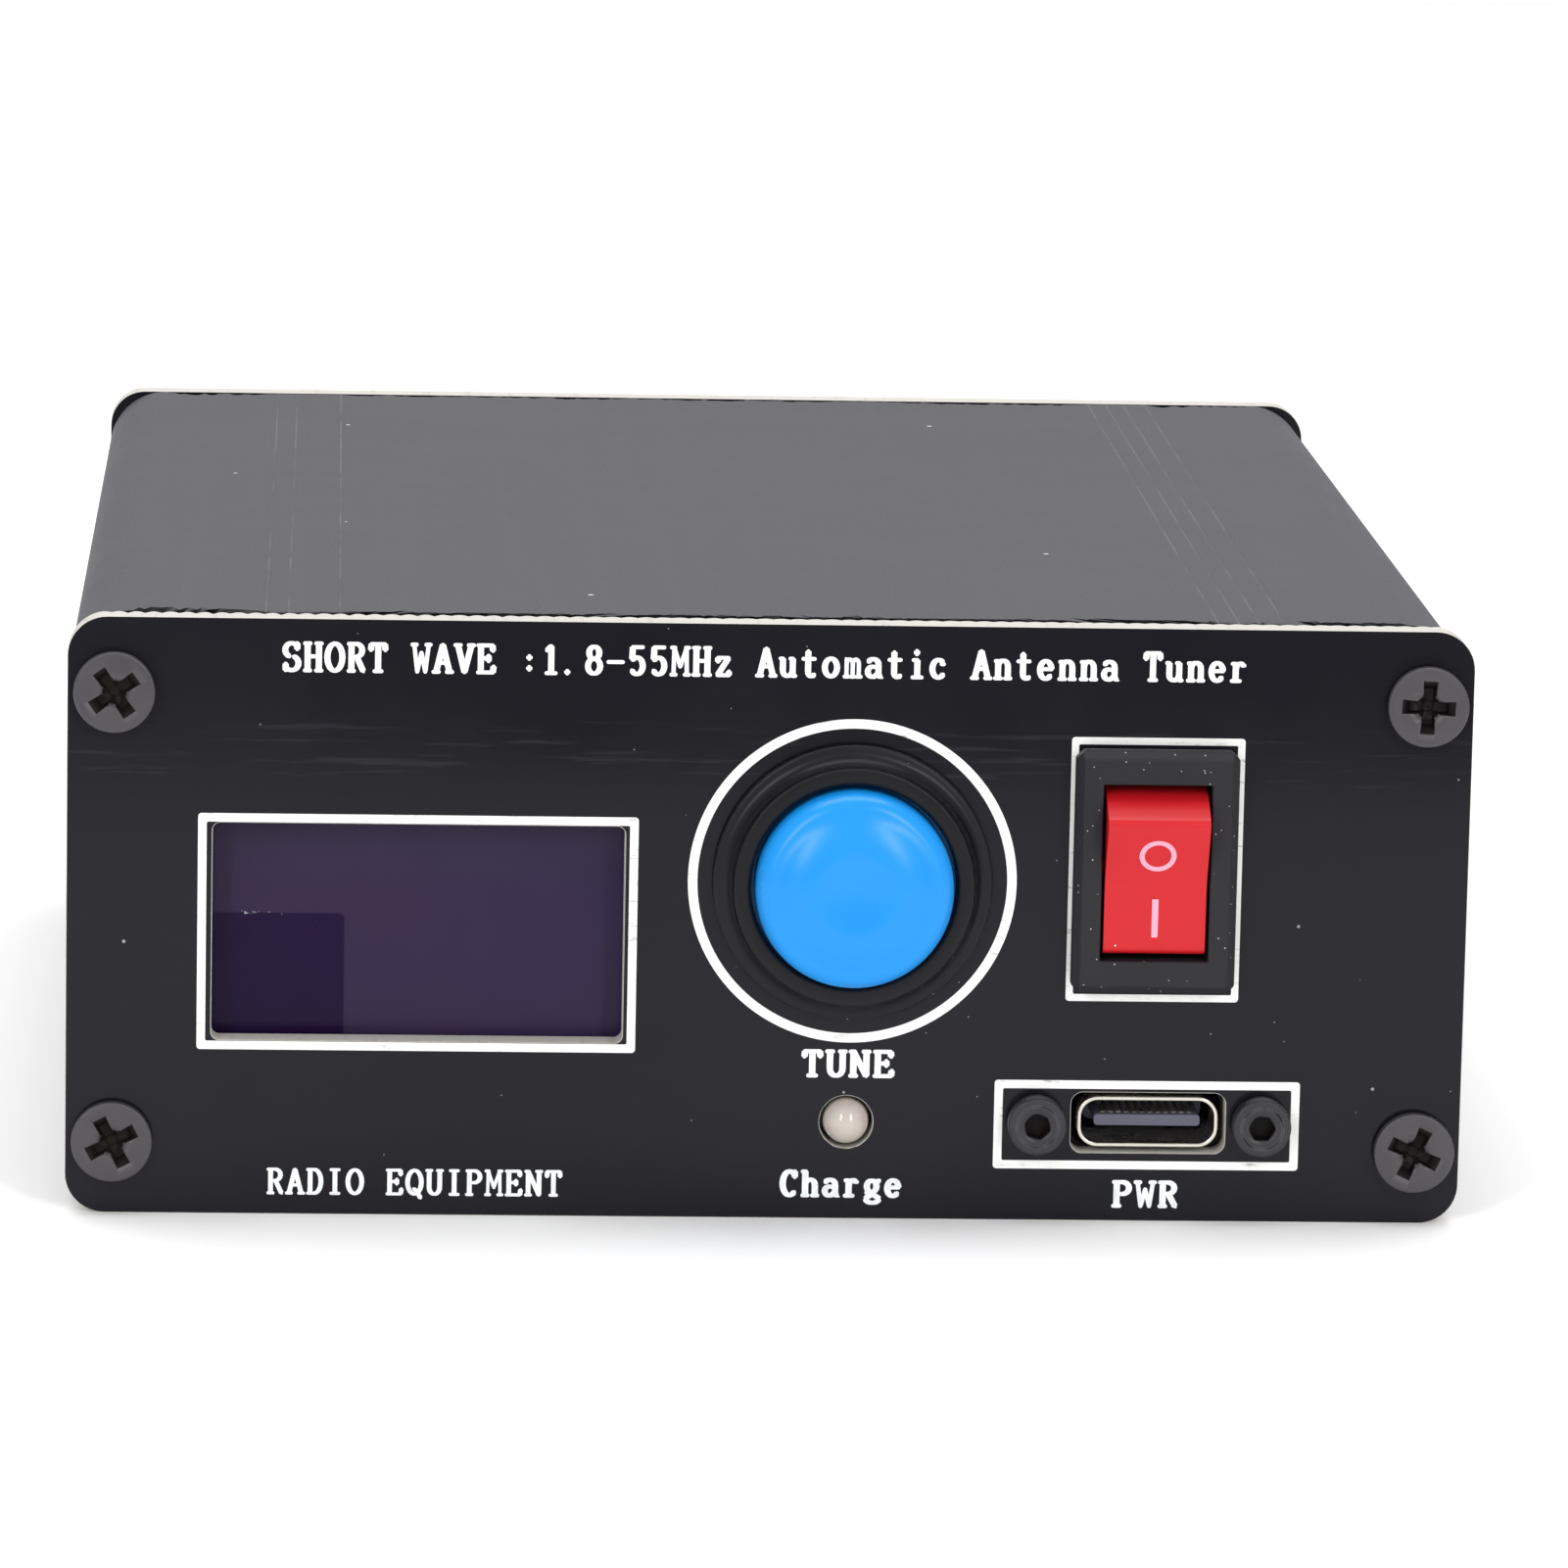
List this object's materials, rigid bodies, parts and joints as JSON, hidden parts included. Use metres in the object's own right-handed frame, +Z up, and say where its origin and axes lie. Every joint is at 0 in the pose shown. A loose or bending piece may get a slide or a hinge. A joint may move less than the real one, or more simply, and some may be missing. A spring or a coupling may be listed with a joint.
{
  "type": "antenna tuner",
  "caption": "Small automatic antenna tuner in a split black extruded case: display window, blue tune button, red power rocker, USB charging socket and two coaxial sockets.",
  "frame": {"origin": "middle of the case's flat underside", "axes": "+Z up, +Y from the front panel to the rear panel (the front panel faces -Y), +X to the right when looking at the front panel"},
  "size_m": [0.088, 0.1265, 0.038],
  "materials": {
    "black_anodised_aluminium": "sand-blasted black anodising, satin",
    "black_solder_mask": "glossy black solder mask on glass-fibre board, tinned print",
    "black_zinc": "black plated steel, bright at the edges",
    "display_glass": "dark violet display glass under a film",
    "green_circuit_board": "green solder mask",
    "blue_circuit_board": "blue solder mask",
    "black_nylon": "black moulded plastic, satin",
    "blue_plastic": "bright blue moulded plastic, satin gloss",
    "red_plastic": "red moulded plastic with pinkish white marks",
    "spring_steel": "bright spring wire",
    "tinned_brass": "tinned brass",
    "nickel_plate": "nickel plating",
    "white_insulator": "white fluoropolymer",
    "milky_lens": "milky diffusing lens",
    "relay_plastic": "dark blue-black moulded plastic",
    "powdered_iron": "red coated powdered iron ring with its winding",
    "ferrite": "dark grey ferrite",
    "chip_epoxy": "black moulding compound",
    "battery_foil": "aluminium laminate pouch"
  },
  "bodies": {
    "case": {"antenna_socket_contact": "tinned_brass", "antenna_socket_insulator": "white_insulator", "antenna_socket_nut": "nickel_plate", "antenna_socket_shell": "nickel_plate", "battery": "battery_foil", "charge_led": "milky_lens", "charger_board": "green_circuit_board", "coupler_core": "ferrite", "display_board": "blue_circuit_board", "display_glass": "display_glass", "display_header": "black_nylon", "front_panel": "black_solder_mask", "front_screw_lower_left": "black_zinc", "front_screw_lower_right": "black_zinc", "front_screw_upper_left": "black_zinc", "front_screw_upper_right": "black_zinc", "inductor_1": "powdered_iron", "inductor_2": "powdered_iron", "inductor_3": "powdered_iron", "lower_shell": "black_anodised_aluminium", "main_board": "green_circuit_board", "microcontroller": "chip_epoxy", "power_switch_housing": "black_nylon", "power_terminal_1": "tinned_brass", "power_terminal_2": "tinned_brass", "radio_socket_contact": "tinned_brass", "radio_socket_insulator": "white_insulator", "radio_socket_nut": "nickel_plate", "radio_socket_shell": "nickel_plate", "rear_panel": "black_solder_mask", "rear_screw_lower_left": "black_zinc", "rear_screw_lower_right": "black_zinc", "rear_screw_upper_left": "black_zinc", "rear_screw_upper_right": "black_zinc", "relay_c1": "relay_plastic", "relay_c2": "relay_plastic", "relay_c3": "relay_plastic", "relay_c4": "relay_plastic", "relay_c5": "relay_plastic", "relay_l1": "relay_plastic", "relay_l2": "relay_plastic", "relay_l3": "relay_plastic", "relay_l4": "relay_plastic", "relay_l5": "relay_plastic", "tune_button_base": "black_nylon", "tune_button_housing": "black_nylon", "tune_button_nut": "nickel_plate", "tune_button_spring": "spring_steel", "tune_terminal_1": "tinned_brass", "tune_terminal_2": "tinned_brass", "upper_shell": "black_anodised_aluminium", "usb_carrier": "black_nylon", "usb_screw_1": "black_zinc", "usb_screw_2": "black_zinc", "usb_socket_shell": "nickel_plate", "usb_socket_tongue": "black_nylon"},
    "tune_cap": {"tune_button_cap": "blue_plastic"},
    "rocker": {"power_switch_rocker": "red_plastic"},
    "contact_arm": {"switch_contact_arm": "tinned_brass"}
  },
  "joints": [
    {"name": "tune_press", "type": "slide", "parent": "case", "child": "tune_cap", "axis": [0, 1, 0], "range_m": [0, 0.0025], "stiffness_N_per_m": 900, "springref_m": -0.0015, "deforming": ["tune_button_spring"]},
    {"name": "power_rock", "type": "hinge", "parent": "case", "child": "rocker", "pos_m": [0.0241, -0.05163, 0.02275], "axis": [-1, 0, 0], "range_deg": [0, 27.2]},
    {"name": "contact_tip", "type": "hinge", "parent": "case", "child": "contact_arm", "pos_m": [0.0241, -0.0456, 0.02275], "axis": [-1, 0, 0], "range_deg": [-16, 0]}
  ],
  "couplings": [
    {"joint": "contact_tip", "follows": "power_rock", "ratio": -0.58823}
  ]
}
